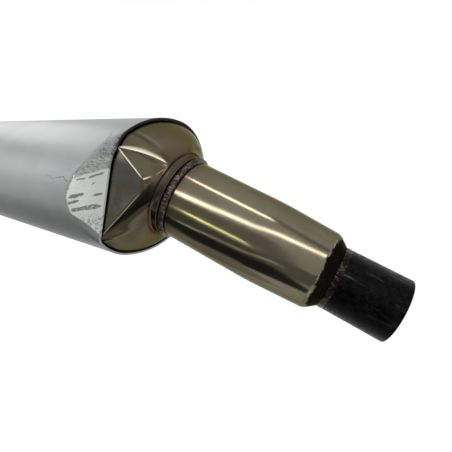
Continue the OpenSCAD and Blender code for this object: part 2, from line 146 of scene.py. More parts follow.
def oval_ring(inset, w):
    """The same ring where nothing is dented."""
    return lambda turn: at_shell(turn, oval_at(turn, inset), w)


# rings as depth in the sheet and place along it, close together where the dent bends it
LIP, HEM_DEEP = 0.0003, 0.0014
dent_steps = [-0.0005 * k for k in range(1, 12)] + [-0.001 * k for k in range(6, 46)]
plain_steps = [-0.048, -0.06, -0.1, -0.15, -0.2, -0.25, -0.3, -0.35, -0.4, 0.001 - SHELL_LEN]
outside = [(0, w) for w in reversed([-LIP] + dent_steps + plain_steps)]
inlet_lip = [(0.1 * LIP, -0.3 * LIP), (0.4 * LIP, 0), (HEM - 0.4 * LIP, 0), (HEM, -LIP), (HEM, -HEM_DEEP)]
inside = [(SHELL_WALL, w) for w in [-HEM_DEEP] + dent_steps[3::3] + plain_steps]
outlet_lip = [(SHELL_WALL - 0.4 * LIP, -SHELL_LEN), (0.4 * LIP, -SHELL_LEN),
              (0.1 * LIP, 0.3 * LIP - SHELL_LEN), (0, LIP - SHELL_LEN)]
shell_rings = outside + inlet_lip + inside + outlet_lip
shell = drawn("shell", 360, [wall_ring(inset, w) for inset, w in shell_rings])

# around: distance along the wall from the middle of the flat, which lies about FLAT_FAR from the
# axis; along: from the inlet end; depth: how far the dent has pushed the wall in
FLAT_FAR = 0.065
wrap = shell.data.attributes.new("wrap", "FLOAT_VECTOR", "POINT")
for v, at in zip(shell.data.vertices, wrap.data):
    y, z = v.co.y, v.co.z - AXIS_Z
    turn = math.atan2(z, y) % math.tau
    at.vector = ((turn - FLAT_DIR) * FLAT_FAR, v.co.x - INLET_X, oval_at(turn, 0) - math.hypot(y, z))


ROOM_WHITE = 0.78


def colour(red, green, blue):
    """A colour as it is seen on screen, 0 to 255, for a shader."""
    return tuple((c / 255 / 12.92) if c < 10.3 else ((c / 255 + 0.055) / 1.055) ** 2.4
                 for c in (red, green, blue)) + (1.0,)


def metal(red, green, blue):
    """The tone of bare metal, for the colour that it shows in a room that isn't quite white."""
    return tuple(ROOM_WHITE * c for c in colour(red, green, blue)[:3]) + (1.0,)


def feed(value, socket):
    """Sets an input, or links it where the value is another node's output."""
    if isinstance(value, bpy.types.NodeSocket):
        socket.id_data.links.new(value, socket)
    else:
        socket.default_value = value


def set_inputs(node, **inputs):
    """Feeds a node's inputs by name, with an underscore for a blank."""
    for name, value in inputs.items():
        feed(value, node.inputs[name.replace("_", " ")])
    return node


def node_of(tree, kind, **inputs):
    """A new node with its inputs fed."""
    return set_inputs(tree.nodes.new("ShaderNode" + kind), **inputs)


def tree_of(*values):
    """The node tree of the first output among some values."""
    return next(value.id_data for value in values if isinstance(value, bpy.types.NodeSocket))


def calc(operation, value, *others):
    """A value worked on with each of the others in turn, or by itself."""
    tree = tree_of(value, *others)
    for other in others or (0.0,):
        node = tree.nodes.new("ShaderNodeMath")
        node.operation = operation
        feed(value, node.inputs[0])
        feed(other, node.inputs[1])
        value = node.outputs[0]
    return value


def times(*values):
    return calc("MULTIPLY", *values)


def plus(*values):
    return calc("ADD", *values)


def less(value, taken):
    return calc("SUBTRACT", value, taken)


def larger(*values):
    return calc("MAXIMUM", *values)


def fade(value, low, high, to_low=0.0, to_high=1.0):
    """A soft step from to_low to to_high as the value goes from low to high."""
    node = tree_of(value).nodes.new("ShaderNodeMapRange")
    node.interpolation_type = "SMOOTHSTEP"
    for name, given in (("Value", value), ("From Min", low), ("From Max", high),
                        ("To Min", to_low), ("To Max", to_high)):
        feed(given, node.inputs[name])
    return node.outputs["Result"]


def band(value, start, full, waning, gone):
    """A soft step up from start to full, and down again from waning to gone."""
    return times(fade(value, start, full), fade(value, gone, waning))


def wobble(cloudy, size):
    """Noise of 0 to 1 as a swing to both sides of nothing."""
    return times(less(cloudy, 0.5), size)


def coated(base, *coats):
    """A base tone with others laid over it in turn, each by its own share."""
    for share, tone in coats:
        node = tree_of(share).nodes.new("ShaderNodeMix")
        node.data_type = "RGBA"
        feed(share, node.inputs["Factor"])
        feed(base, node.inputs["A"])
        feed(tone, node.inputs["B"])
        base = node.outputs["Result"]
    return base


def placed(vector, scale=(1, 1, 1), turn=(0, 0, 0)):
    """Coordinates for a pattern that is stretched and turned."""
    return node_of(tree_of(vector), "Mapping", Vector=vector, Scale=scale, Rotation=turn).outputs[0]


def grain(vector, scale, detail=3.0, rough=0.5, warp=0.0):
    """Cloudy noise of 0 to 1."""
    return node_of(tree_of(vector), "TexNoise", Vector=vector, Scale=scale, Detail=detail,
                   Roughness=rough, Distortion=warp).outputs[0]


def carried(shader, name):
    """What the piece's points carry under a name: the vector, then its three values."""
    tree = shader.id_data
    node = tree.nodes.new("ShaderNodeAttribute")
    node.attribute_name = name
    vector = node.outputs["Vector"]
    return vector, *node_of(tree, "SeparateXYZ", Vector=vector).outputs


def new_finish(name):
    """An empty material: its shader and the object's own coordinates."""
    material = bpy.data.materials.new(name)
    material.use_nodes = True
    tree = material.node_tree
    shader = tree.nodes["Principled BSDF"]
    at = tree.nodes.new("ShaderNodeTexCoord").outputs["Object"]
    return material, shader, at


def raised(shader, height, strength, depth):
    """Lets a height stand out of the surface; depth is how far, in metres."""
    bump = node_of(shader.id_data, "Bump", Height=height, Strength=strength, Distance=depth)
    feed(bump.outputs[0], shader.inputs["Normal"])


def own_group(name, inputs, outputs):
    """An effect as a node group: named inputs with their defaults, named outputs."""
    group = bpy.data.node_groups.new(name, "ShaderNodeTree")
    for label, kind, default in inputs:
        socket = group.interface.new_socket(label, in_out="INPUT", socket_type="NodeSocket" + kind)
        if default is not None:
            socket.default_value = default
    for label, kind in outputs:
        group.interface.new_socket(label, in_out="OUTPUT", socket_type="NodeSocket" + kind)
    return group, group.nodes.new("NodeGroupInput").outputs, group.nodes.new("NodeGroupOutput").inputs


def use(group, **inputs):
    """Places a node group and gives its outputs."""
    node = tree_of(*inputs.values()).nodes.new("ShaderNodeGroup")
    node.node_tree = group
    return set_inputs(node, **inputs).outputs


# Specks: small dark spots, few and scattered, as grit and pinholes leave them
specks, given, put = own_group(
    "specks",
    [("Vector", "Vector", None), ("Scale", "Float", 200.0), ("Size", "Float", 0.1),
     ("Share", "Float", 0.1)],
    [("Mask", "Float")],
)
cells = node_of(specks, "TexVoronoi", Vector=given["Vector"], Scale=given["Scale"])
dots = calc("LESS_THAN", cells.outputs["Distance"], given["Size"])
chance = node_of(specks, "SeparateColor", Color=cells.outputs["Color"]).outputs[0]
feed(times(dots, calc("LESS_THAN", chance, given["Share"])), put["Mask"])

# Lines: fine parallel polishing or rolling lines; Vector is scaled to run them one way
lines, given, put = own_group(
    "lines",
    [("Vector", "Vector", None), ("Fineness", "Float", 300.0)],
    [("Lines", "Float"), ("Bands", "Float")],
)
feed(grain(given["Vector"], given["Fineness"], 4.0, 0.65), put["Lines"])
feed(grain(given["Vector"], times(given["Fineness"], 0.12), 2.0), put["Bands"])

MATT, MATT_CLOUD = metal(166, 167, 168), metal(174, 175, 175)
ROLLING_LINE, SCUFF_AND_EDGE_SHADE = metal(120, 120, 121), metal(72, 72, 74)
SCRAPED, SCRAPED_CLOUD, SCRAPED_SMEAR = colour(210, 212, 210), colour(192, 195, 188), colour(184, 186, 181)
UPPER_ZONE, BROKEN_SKIN, DIRT = colour(158, 160, 154), colour(104, 106, 101), colour(92, 95, 90)
WIPED_BLACK = colour(24, 23, 24)

shell_finish, shader, at = new_finish("aluminium_shell")
wrap_at, around, along, depth = carried(shader, "wrap")
rolled = use(lines, Vector=placed(at, scale=(0.06, 1, 1)), Fineness=420.0)
cloud = grain(at, 22.0, 3.0)

# the scraped patch: the flat itself, out to an uneven edge that runs slanting across its top
ragged = grain(placed(wrap_at, scale=(1, 0.6, 0)), 260.0, 4.0, 0.6)
below = fade(around, 0.030, 0.042, 0.0002, 0.0040)
pushed = less(plus(depth, wobble(ragged, 0.0012)), below)
top = plus(around, times(along, 0.55), wobble(ragged, 0.008))
under_top = fade(top, -0.0220, -0.0205)
edge_soft = fade(around, 0.010, 0.030, 0.00015, 0.0007)
patch = times(fade(pushed, 0.0, edge_soft), under_top)
# a thin line of painted shade along the upper part of the flat's edge, where the wall bends in
edge_shade_line = times(band(pushed, -0.0001, 0.0001, 0.0003, 0.0006), fade(around, 0.010, 0.003), under_top)

# streaks: dirt left where the road didn't reach, drawn out along the canister
slanted = placed(wrap_at, scale=(1, 0.16, 0), turn=(0, 0, math.radians(-10)))
smear = grain(slanted, 420.0, 5.0, 0.7, 0.3)
mottle = grain(placed(wrap_at, scale=(1, 0.35, 0), turn=(0, 0, math.radians(-20))),
               640.0, 4.0, 0.7, 0.5)
spots = grain(placed(wrap_at, scale=(1, 0.8, 0), turn=(0, 0, math.radians(35))), 620.0, 3.0, 0.6, 0.8)


def streak(centre, middle, half_wide, half_long, slope):
    """A ragged dark streak on the flat, around and along the shell."""
    off = plus(less(around, centre), times(less(along, middle), slope))
    uneven = plus(less(smear, 0.5), less(mottle, 0.5))
    side = calc("DIVIDE", plus(off, times(uneven, half_wide * 2.4)), half_wide)
    end = calc("DIVIDE", less(along, middle), half_long)
    end = times(end, end)
    size = plus(times(side, side), times(end, end))
    return fade(size, 1.3, 0.6)


# place around and along the shell, half width, half length, slope
STREAKS = (
    (0.0052, -0.0203, 0.0006, 0.0040, 0.28), (-0.0004, -0.0083, 0.0010, 0.0062, 0.60),
    (0.0192, -0.0225, 0.0014, 0.0064, 0.24), (0.0175, -0.0054, 0.0009, 0.0038, 0.28),
    (0.0240, -0.0241, 0.0010, 0.0047, 0.25), (0.0078, -0.0100, 0.0006, 0.0012, 0.80),
)
broad = times(streak(0.0286, -0.0133, 0.0018, 0.0120, 0.086), fade(spots, 0.62, 0.50, 0.35, 1.0))
dirt = larger(*(streak(*line) for line in STREAKS), broad)

# two mottled zones, above the streaks and at the lower end, where the drag only broke the skin
slope_line = plus(around, times(along, 0.516), wobble(smear, 0.004))
upper = times(fade(slope_line, -0.0076, -0.0094), fade(along, -0.0275, -0.0255))
lower = times(fade(around, 0.031, 0.038), 0.8)
broken = plus(times(upper, fade(mottle, 0.58, 0.40, 0.15, 1.0)), times(lower, fade(spots, 0.52, 0.42)))

# scuffs above the flat: dense along the rim, a loose chain further in, and one thin scratch
rim_zone = times(fade(along, -0.0050, -0.0012), band(around, -0.062, -0.046, -0.024, -0.014))
bend = times(calc("MINIMUM", plus(around, 0.034), 0.0), -0.36)
chain = fade(calc("ABSOLUTE", plus(along, 0.0100, bend)), 0.0042, 0.0012)
chain = times(chain, band(around, -0.054, -0.044, -0.026, -0.018), 0.72)
middle = times(fade(along, -0.0150, -0.0095, 0, 0.75), band(around, -0.034, -0.027, -0.018, -0.014))
zone = larger(rim_zone, chain, middle)
scuffed = times(fade(plus(spots, times(zone, 0.20)), 0.66, 0.72), fade(zone, 0.05, 0.3))
wander = wobble(grain(wrap_at, 90.0, 4.0), 0.010)
thin = calc("ABSOLUTE", plus(less(around, 0.0068), wander))
thin = fade(plus(thin, times(mottle, 0.0007)), 0.00075, 0.00045)
thin = times(thin, band(along, -0.076, -0.060, -0.034, -0.030))
grit = use(specks, Vector=at, Scale=95.0, Size=0.055, Share=0.10)["Mask"]
# the scuffs, the scratch and the grit share one dark tone with the painted shade line along the flat's edge
scuffs_and_edge_shade = larger(scuffed, edge_shade_line, thin, times(grit, 0.5))

# sealant was wiped over the lip along the top, round to the machine's side
at_lip = fade(plus(along, wobble(mottle, 0.0006)), -0.0005, -0.0002)
top_side = larger(fade(around, -0.026, -0.040), fade(around, 0.195, 0.215))
wiped = times(at_lip, top_side)

matt = coated(MATT, (fade(cloud, 0.3, 0.7), MATT_CLOUD),
              (times(rolled["Lines"], 0.12), ROLLING_LINE), (times(scuffs_and_edge_shade, 0.80), SCUFF_AND_EDGE_SHADE))
bare = coated(SCRAPED, (fade(cloud, 0.35, 0.65), SCRAPED_CLOUD),
              (fade(smear, 0.30, 0.75, 0.0, 0.5), SCRAPED_SMEAR),
              (times(upper, 0.75), UPPER_ZONE), (times(broken, 0.80), BROKEN_SKIN),
              (times(dirt, 0.85), DIRT))
set_inputs(
    shader,
    Base_Color=coated(matt, (patch, bare), (wiped, WIPED_BLACK)),
    Metallic=times(fade(patch, 0, 1, 1.0, 0.35), fade(wiped, 0, 1, 1.0, 0.0)),
    Roughness=plus(fade(patch, 0, 1, 0.40, 0.50), times(rolled["Bands"], 0.06),
                   times(wiped, 0.3)),
)
relief = plus(times(rolled["Lines"], 0.15), times(patch, smear))
raised(shader, less(relief, times(scuffs_and_edge_shade, 0.8)), 0.55, 0.00018)
shell.data.materials.append(shell_finish)
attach(shell, "root")
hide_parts("outer_shell")

# Joint seals
# Black heat-proof sealant fills the narrow gap between the shell's ends and the caps' skirts.
# It was wiped off a little below the shell's lip, so its face is slightly hollow and uneven.

JOINT, JOINT_DEPTH, RECESS = 0.0023, 0.005, 0.0015
HOLLOW, UNEVEN = 0.0003, 0.00018


def sealed(name, node, ring, outer_end):
    """One ring of sealant; outer_end turns distances from the shell's edge into w."""
    face = [(SHELL_WALL + JOINT * k / 8, RECESS + HOLLOW * math.sin(math.pi * k / 8)) for k in range(9)]
    back = [(SHELL_WALL + JOINT, RECESS + JOINT_DEPTH), (SHELL_WALL, RECESS + JOINT_DEPTH)]
    seal = drawn(name, 360, [ring(i, outer_end(d)) for i, d in face + back])
    for v in seal.data.vertices:
        v.co.x += UNEVEN * noise.noise(v.co * 260)
    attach(seal, "root")
    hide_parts(node)
    return seal


inlet_seal = sealed("inlet_seal", "inlet_joint_seal", wall_ring, lambda d: -d)
outlet_seal = sealed("outlet_seal", "outlet_joint_seal", oval_ring, lambda d: d - SHELL_LEN)

sealant, shader, at = new_finish("joint_sealant")
dusty = fade(grain(at, 260.0, 4.0, 0.7), 0.5, 0.75)
set_inputs(shader, Base_Color=coated(colour(16, 15, 15), (dusty, colour(52, 50, 48))),
           Roughness=fade(grain(at, 120.0), 0.3, 0.7, 0.55, 0.8))
raised(shader, grain(at, 700.0, 4.0, 0.7), 0.6, 0.0003)
for seal in (inlet_seal, outlet_seal):
    seal.data.materials.append(sealant)

# Inlet cap
# Stainless sheet pressed to a dome with a skirt and a leaning collar for the inlet pipe, browned
# by heat. The blow at its corner has folded it into flats that meet in sharp, bright creases.

SKIRT_IN = SHELL_WALL + JOINT
CAP_WALL, SKIRT = 0.0012, 0.014
# how far the cap's rim lies over the sealant, fading out where the dent pushes it in
EDGE_OVER, OVER_UNTIL = 0.0010, 0.004
SLEEVE_R, NECK_WALL, NECK_H, FILLET = 0.03525, 0.0019, 0.0066, 0.0024
NECK_AT, COLLAR_GAP = 0.2005, 0.0003
NECK_R = SLEEVE_R + COLLAR_GAP + NECK_WALL
TO_NECK = REACH - NECK_AT


def at_cap(p):
    """From the canister's own axes (across, up, along) to the part's."""
    return Vector((INLET_X + p.z, p.x, AXIS_Z + p.y))


def neck_point(foot, lean, turn, far, height):
    """A point around a leaning collar: its turn, its distance from the middle, its height."""
    return foot + far * Vector((math.cos(turn), math.sin(turn) * math.cos(lean),
                                math.sin(turn) * math.sin(lean))) \
        + height * Vector((0, -math.sin(lean), math.cos(lean)))


INLET_FOOT = Vector((0, -TO_NECK * math.sin(LEAN), CROSS + TO_NECK * math.cos(LEAN)))


def dome_at(turn, rise, below=0):
    """A point of the pressed dome, from the rim (rise 0) to the collar's foot (rise 1)."""
    pushed = oval_at(turn, 0) - wall_at(turn, 0, 0)
    over = EDGE_OVER * max(0, 1 - pushed / OVER_UNTIL)
    far = wall_at(turn, SKIRT_IN - over + below, -RECESS)
    rim = Vector((far * math.cos(turn), far * math.sin(turn), -RECESS - below))
    way = neck_point(INLET_FOOT, LEAN, turn, NECK_R + FILLET - below, -below) - rim
    mid = rim + Vector((way.x * 0.3, way.y * 0.3, way.z * 0.7))
    return (1 - rise) ** 2 * rim + 2 * rise * (1 - rise) * mid + rise**2 * (rim + way)


def mark(degrees, rise):
    """A point of the dome by its turn in degrees and its rise."""
    return dome_at(math.radians(degrees), rise)


upper_corner, lower_corner = mark(106.5, 0), mark(181.5, 0)
ridge_end, short_end, peak = mark(99, 0.93), mark(119, 0.86), mark(127.5, 0.67)
heel, fold_end = mark(141.5, 0.73), mark(160, 1)


def beside(start, end, slope):
    """How fast the sheet falls away to one side of a crease, as a vector across it."""
    return start.cross(end).normalized() * slope


# beside the flat the sheet folded into two troughs between creases
TROUGHS = (
    (beside(ridge_end, upper_corner, 0.26), beside(upper_corner, peak, 0.10),
     beside(peak, short_end, 0.16)),
    (beside(heel, lower_corner, 0.45), beside(lower_corner, fold_end, 0.15)),
)
# finer ridges and grooves of the sheet: their two ends, half width, height
FOLDS = (
    (lower_corner, heel, 0.0009, 0.00022),
    (upper_corner, peak, 0.0010, 0.00020),
    (mark(131, 0.74), mark(137, 0.75), 0.0014, 0.0004),
)


def fold_height(p):
    """How high the finer folds stand at a point of the dome."""
    total = 0
    for start, end, wide, high in FOLDS:
        way = end - start
        share = (p - start).dot(way) / way.length_squared
        ends = min(max(min(share, 1 - share) / 0.15, 0), 1)
        if ends > 0:
            off = start.cross(end).normalized().dot(p) / wide
            total += high * ends * ends * (3 - 2 * ends) * math.exp(-off * off)
    return total


# rounding of the troughs' bottoms and of the creases, and the share of the rise that the collar holds
BOTTOM_ROUNDING, CREASE_ROUNDING, HELD_SHARE = 0.0006, 0.0002, 0.25


def pressed(p, rise):
    """Lets a point of the dome down into the troughs, but not where the collar holds it."""
    down = 0
    for trough in TROUGHS:
        low = trough[0].dot(p)
        for slope in trough[1:]:
            low = soft_min(low, slope.dot(p), BOTTOM_ROUNDING)
        down = -soft_min(-down, -low, CREASE_ROUNDING)
    held = min(1, (1 - rise) / HELD_SHARE)
    return p * (1 - (down - fold_height(p)) * held * (2 - held) / p.length)


def cap_ring(rise, below=0):
    """A ring of the pressed dome; below is its depth in the sheet."""
    return lambda turn: at_cap(pressed(dome_at(turn, rise, below), rise))


def collar_ring(foot, lean, far, height):
    """A ring around a collar."""
    return lambda turn: at_cap(neck_point(foot, lean, turn, far, height))


def collar_rings(foot, lean, far, inside_r):
    """The fillet, the collar and its rounded lip, down to the bore."""
    steps = [(far + FILLET * (1 - math.sin(a)), FILLET * (1 - math.cos(a)))
             for a in [math.radians(k) for k in range(15, 91, 15)]]
    lip_r = NECK_WALL / 2
    steps += [(far - lip_r + lip_r * math.cos(a), NECK_H - lip_r + lip_r * math.sin(a))
              for a in [math.radians(k) for k in range(0, 181, 20)]]
    steps += [(inside_r, -0.001)]
    return [collar_ring(foot, lean, r, h) for r, h in steps]


cap_rings = [wall_ring(SKIRT_IN, w) for w in (-SKIRT, -0.008, -0.003)]
cap_rings += [cap_ring(k / 108) for k in range(109)]
cap_rings += collar_rings(INLET_FOOT, LEAN, NECK_R, NECK_R - NECK_WALL)
cap_rings += [cap_ring(0.97 - 0.97 * k / 10, CAP_WALL) for k in range(11)]
cap_rings += [wall_ring(SKIRT_IN + CAP_WALL, w) for w in (-0.008, -SKIRT)]
inlet_cap = drawn("inlet_cap", 600, cap_rings)

# creases, as start, end and the side that counts as beyond, and the soft bruise beside the first
CREASES = (
    (upper_corner, ridge_end, -1), (upper_corner, peak, 1),
    (lower_corner, heel, -1), (peak, short_end, 1),
)
FLAT_SIDES = (beside(peak, upper_corner, 1), beside(lower_corner, heel, 1), beside(heel, peak, 1))
BRUISE = beside(mark(88.5, 0.16), mark(94.5, 0.90), 1)
PIPE_TURN = Matrix.Rotation(math.pi / 2 + LEAN, 4, "Y")

# what every point of the cap carries for its finish, three values under each name
# tint: how far inside the flat it lies, how far from the collar's wall, and how far up the pipe
# across and share: how far beside the first three creases it lies, and how far along them, 0 to 1
# minor: the same two of the short crease, and the distance from the bruise
LABELS = ("tint", "across", "share", "minor")
kept = inlet_cap.data.attributes
for label in LABELS:
    kept.new(label, "FLOAT_VECTOR", "POINT")
from_pipe = PIPE_TURN.inverted()
for v, *slots in zip(inlet_cap.data.vertices, *(kept[label].data for label in LABELS)):
    p = Vector((v.co.y, v.co.z - AXIS_Z, v.co.x - INLET_X))
    q = from_pipe @ v.co
    inward = min(side.dot(p) for side in FLAT_SIDES)
    off = [beside(start, end, side).dot(p) for start, end, side in CREASES]
    share = [(p - start).dot(end - start) / (end - start).length_squared for start, end, _ in CREASES]
    slots[0].vector = (inward, math.hypot(q.x, q.y) - NECK_R, q.z + NECK_AT)
    slots[1].vector, slots[2].vector = off[:3], share[:3]
    slots[3].vector = (off[3], share[3], BRUISE.dot(p))


def painted_crease_line(off, share, before, after):
    """A painted highlight along a crease; before and after are its widths to either side."""
    return times(fade(plus(off, before), 0.0, before), fade(off, after, 0.0),
                 band(share, 0.0, 0.06, 0.90, 1.02))


def dent_marks_and_painted_light(shader, at, cloud, base):
    """What the blow left on the browned sheet, the painted shade and highlights by its creases, and how
    strong the creases' painted highlights are.
    """
    _, on_flat, from_collar, up_pipe = carried(shader, "tint")
    _, off_ridge, off_second, off_low = carried(shader, "across")
    _, up_ridge, up_second, up_low = carried(shader, "share")
    _, off_short, up_short, off_bruise = carried(shader, "minor")
    smudge = wobble(cloud, 0.006)
    waver = wobble(grain(at, 110.0, 4.0), 0.0008)
    # the flat is rubbed down to grey steel
    flat = times(fade(plus(on_flat, smudge), -0.0002, 0.0030, 0.0, 0.95),
                 fade(grain(at, 90.0, 4.0), 0.60, 0.40, 0.55, 1.0))
    grey = coated(metal(122, 120, 110), (fade(cloud, 0.4, 0.6), metal(114, 117, 115)))
    # heat has reddened the collar and its foot, darkest in the groove around it
    near = plus(from_collar, times(smudge, 0.6))
    foot = fade(near, 0.0070, 0.0012, 0.0, 0.60)
    groove = times(band(near, 0.0004, 0.0014, 0.0016, 0.0032), 0.6)
    collar = times(fade(up_pipe, 0.0015, 0.0060, 0.0, 0.6), fade(from_collar, 0.0030, 0.0020))
    # the fold under the flat is darkened with painted shade, and one side of the second crease is painted
    # light orange
    far_side = less(off_low, times(up_low, 0.0100))
    painted_fold_shade = times(fade(off_low, -0.0001, 0.0008), fade(far_side, 0.0020, -0.0015),
                  band(up_low, 0.0, 0.15, 1.0, 1.35), 0.92)
    orange_patch = times(band(off_second, -0.0065, -0.0015, -0.0004, 0.0004),
                 band(up_second, 0.03, 0.12, 0.16, 0.42), 0.75)
    # a soft bruise beside the upper crease: painted shade along its middle and a painted highlight to one
    # side
    soft = times(fade(off_ridge, -0.002, -0.006), band(from_collar, 0.006, 0.010, 0.026, 0.034))
    shaded = times(fade(calc("ABSOLUTE", off_bruise), 0.0030, 0.0), soft, 0.55)
    to_side = calc("ABSOLUTE", less(off_bruise, 0.0040))
    bruise_highlight = times(fade(to_side, 0.0026, 0.0), soft, 0.45)
    # the creases carry painted highlights, the longest one widest at its middle
    swell = times(up_ridge, less(1.0, up_ridge), 0.0150)
    ridge = painted_crease_line(plus(off_ridge, waver), up_ridge, plus(swell, 0.0010), 0.0004)
    second = painted_crease_line(plus(off_second, waver), up_second, 0.0008, 0.0010)
    short = times(painted_crease_line(plus(off_short, waver), up_short, 0.0016, 0.0010), fade(up_short, 1.0, 0.1))
    low = times(painted_crease_line(plus(off_low, waver), up_low, 0.0007, 0.0004), 0.45)
    painted_highlight = larger(ridge, second, short, low)
    # of these coats, the fold's and the bruise's dark tones are painted shade, and the bruise's light tone
    # and the creases' cream are painted highlights
    base = coated(base, (flat, grey), (foot, metal(84, 68, 58)), (groove, metal(52, 36, 32)),
                  (collar, metal(74, 62, 54)), (painted_fold_shade, metal(27, 24, 18)), (shaded, metal(58, 52, 40)),
                  (bruise_highlight, metal(150, 142, 120)), (orange_patch, metal(176, 144, 112)),
                  (painted_highlight, colour(232, 224, 200)))
    return base, painted_highlight


def tinted_steel(name, shade, light, red, roughness, dented=False):
    """Pressed stainless sheet: heat-browned in clouds, finely scratched, with a few pinholes."""
    material, shader, at = new_finish(name)
    cloud = grain(at, 28.0, 4.0, 0.55)
    cloth = use(lines, Vector=placed(at, (1, 1, 0.25), (0.5, 0.3, 0)), Fineness=900.0)
    flushed = fade(grain(at, 60.0, 3.0), 0.52, 0.72, 0.0, 0.5)
    base = coated(shade, (fade(cloud, 0.32, 0.68), light), (flushed, red))
    metallic = 1.0
    if dented:
        # where the creases' painted highlights lie, the sheet is made less metallic and rougher, so they
        # show light under any lamp
        base, painted_highlight = dent_marks_and_painted_light(shader, at, cloud, base)
        metallic = fade(painted_highlight, 0.0, 1.0, 1.0, 0.30)
        roughness = fade(painted_highlight, 0.0, 1.0, roughness, roughness + 0.14)
    pits = use(specks, Vector=at, Scale=140.0, Size=0.05, Share=0.05)["Mask"]
    set_inputs(shader, Metallic=metallic, Specular_Tint=(0.50, 0.47, 0.38, 1),
               Base_Color=coated(base, (times(pits, 0.8), colour(20, 18, 15))),
               Roughness=plus(roughness, times(cloth["Lines"], 0.10)))
    raised(shader, less(cloth["Lines"], pits), 0.25, 0.00006)
    return material


cap_finish = tinted_steel("tinted_stainless", metal(99, 92, 75), metal(112, 103, 84),
                          metal(110, 94, 76), 0.16, dented=True)
plain_cap_finish = tinted_steel("tinted_stainless_plain", metal(112, 104, 86), metal(126, 117, 96),
                                metal(122, 106, 86), 0.17)
inlet_cap.data.materials.append(cap_finish)
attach(inlet_cap, "root")
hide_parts("inlet_end_cap")

# Inlet sleeve
# The outer wall of the inlet pipe, turned down from stainless tube: straight, then a slow taper
# and a rounded shoulder with a cone behind the stub. Polished along its length, golden from
# heat, and blackened by soot from the shoulder on.

PIPE_BACK = (0, -(math.pi / 2 + LEAN), 0)


def spun(name, profile, steps=256, matrix=PIPE_TURN, closed=True, smooth_angle=40):
    """A turned piece: (radius, height) points spun once around the axis."""
    bm = bmesh.new()
    row = [bm.verts.new((r, 0, z)) for r, z in profile]
    edge = [bm.edges.new(pair) for pair in zip(row, row[1:])]
    if closed:
        edge.append(bm.edges.new((row[-1], row[0])))
    bmesh.ops.spin(bm, geom=row + edge, cent=(0, 0, 0), axis=(0, 0, 1), angle=math.tau, steps=steps,
                   use_merge=True)
    bm.transform(matrix)
    return piece_of(name, bm, smooth_angle)


SLEEVE_WALL, SHOULDER_AT, SHOULDER_R = 0.0012, 0.063, 0.008
TAPER_START, TAPER_ROLL, TAPER_SLOPE = 0.118, 0.020, math.radians(3.55)
CONE = math.radians(39)
RUN_R, FOOT_GAP = 0.0250, 0.00015
FOOT_R = RUN_R + FOOT_GAP


def sleeve_line(inset):
    """The sleeve's outline from the neck to the cone's foot, inset by its wall or by nothing."""
    drop = math.tan(TAPER_SLOPE)
    roll_end = SLEEVE_R - drop * TAPER_ROLL / 2
    edge = roll_end - drop * (TAPER_START - TAPER_ROLL - SHOULDER_AT)
    line = [(SLEEVE_R - inset, -(NECK_AT + CAP_WALL + 0.001)), (SLEEVE_R - inset, -0.16)]
    for k in range(9):
        share = k / 8
        line.append((SLEEVE_R - drop * TAPER_ROLL * share**2 / 2 - inset, TAPER_ROLL * share - TAPER_START))
    for k in range(15):
        a = TAPER_SLOPE + (CONE - TAPER_SLOPE) * k / 14
        line.append((edge - SHOULDER_R * (math.cos(TAPER_SLOPE) - math.cos(a)) - inset * math.cos(a),
                     SHOULDER_R * (math.sin(a) - math.sin(TAPER_SLOPE)) - SHOULDER_AT - inset * math.sin(a)))
    r, z = line[-1]
    line.append((FOOT_R, z + (r - FOOT_R) / math.tan(CONE)))
    return line


FOOT_Z = sleeve_line(0)[-1][1]
sleeve = spun("sleeve", sleeve_line(0) + sleeve_line(SLEEVE_WALL)[::-1], steps=320)


# where along the pipe the soot, the painted highlight on the edge before it and the burnt seam at the neck
# lie
SOOT, EDGE_HIGHLIGHT = (-0.0612, -0.0594), (-0.0618, -0.0612, -0.0609, -0.0604)
HEATED, SEAM = (-0.178, -0.187), (-0.1861, -0.1867)


def sooted(at, own, base, rough):
    """Soot from the shoulder on, a painted highlight along the edge where it begins, and heat near the neck
    weld.
    """
    height = node_of(tree_of(own), "SeparateXYZ", Vector=own).outputs["Z"]
    patchy = wobble(grain(at, 170.0, 4.0, 0.7), 0.006)
    drift = wobble(grain(at, 26.0, 3.0), 0.014)
    soot = fade(plus(height, patchy, drift), *SOOT)
    heat = fade(height, *HEATED, 0.0, 0.55)
    seam = fade(plus(height, times(patchy, 0.12)), *SEAM)
    # a thin painted highlight along the shoulder's rounded edge, broken up in patches
    edge = times(band(plus(height, times(patchy, 0.10)), *EDGE_HIGHLIGHT),
                 fade(grain(at, 120.0, 4.0, 0.7), 0.44, 0.60),
                 fade(grain(at, 22.0, 2.0), 0.42, 0.52, 0.15, 1.0))
    worn = fade(grain(at, 420.0, 4.0, 0.7), 0.56, 0.72, 0.0, 0.35)
    black = coated(metal(22, 20, 18), (worn, metal(92, 84, 70)))
    base = coated(base, (heat, metal(92, 76, 66)), (times(seam, 0.9), metal(20, 15, 13)),
                  (edge, metal(205, 199, 182)), (soot, black))
    return base, plus(rough, times(soot, 0.38), times(edge, 0.20))


